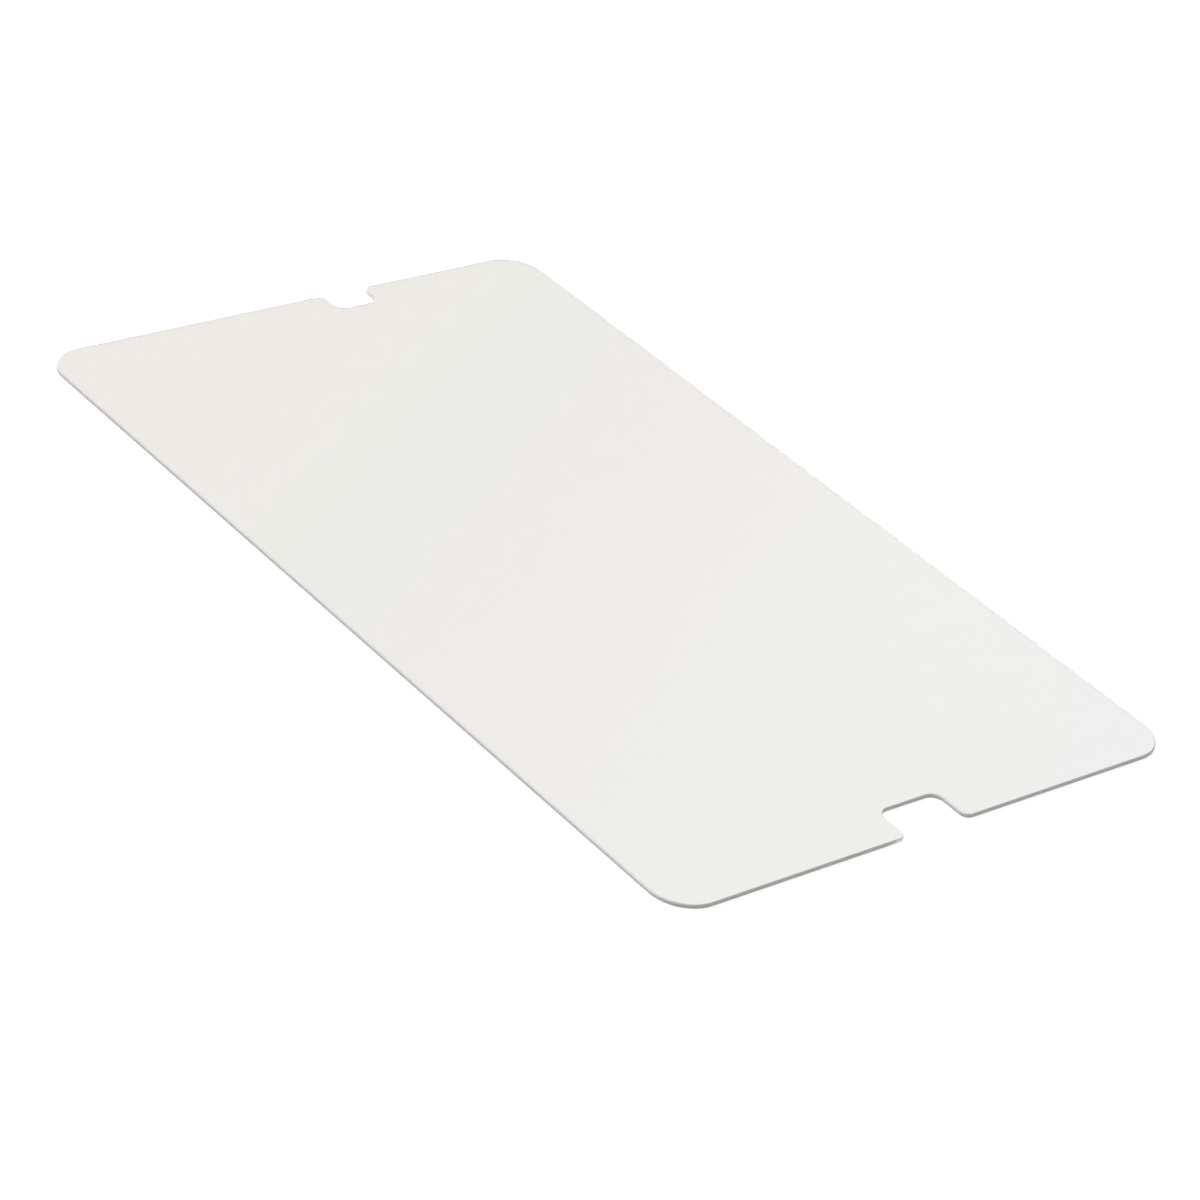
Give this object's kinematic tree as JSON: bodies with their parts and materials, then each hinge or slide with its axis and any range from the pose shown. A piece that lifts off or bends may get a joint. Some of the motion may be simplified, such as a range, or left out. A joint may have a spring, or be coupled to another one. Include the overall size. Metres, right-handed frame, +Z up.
{
  "type": "tablet screen protector",
  "caption": "Flat tempered glass sheet that covers a tablet's front, with rounded corners, ground edges and open end notches for the home button and camera.",
  "frame": {"origin": "middle of the underside, which is the adhesive side and lies on the tablet", "axes": "+X to the right across the short edges, +Y along the long edges to the camera end, +Z up through the thickness"},
  "size_m": [0.12, 0.2026, 0.0008],
  "materials": {
    "glass": "clear polished glass with a faint warm grey cast and a smooth ground edge"
  },
  "bodies": {
    "root": {"glass_sheet": "glass"}
  },
  "joints": []
}
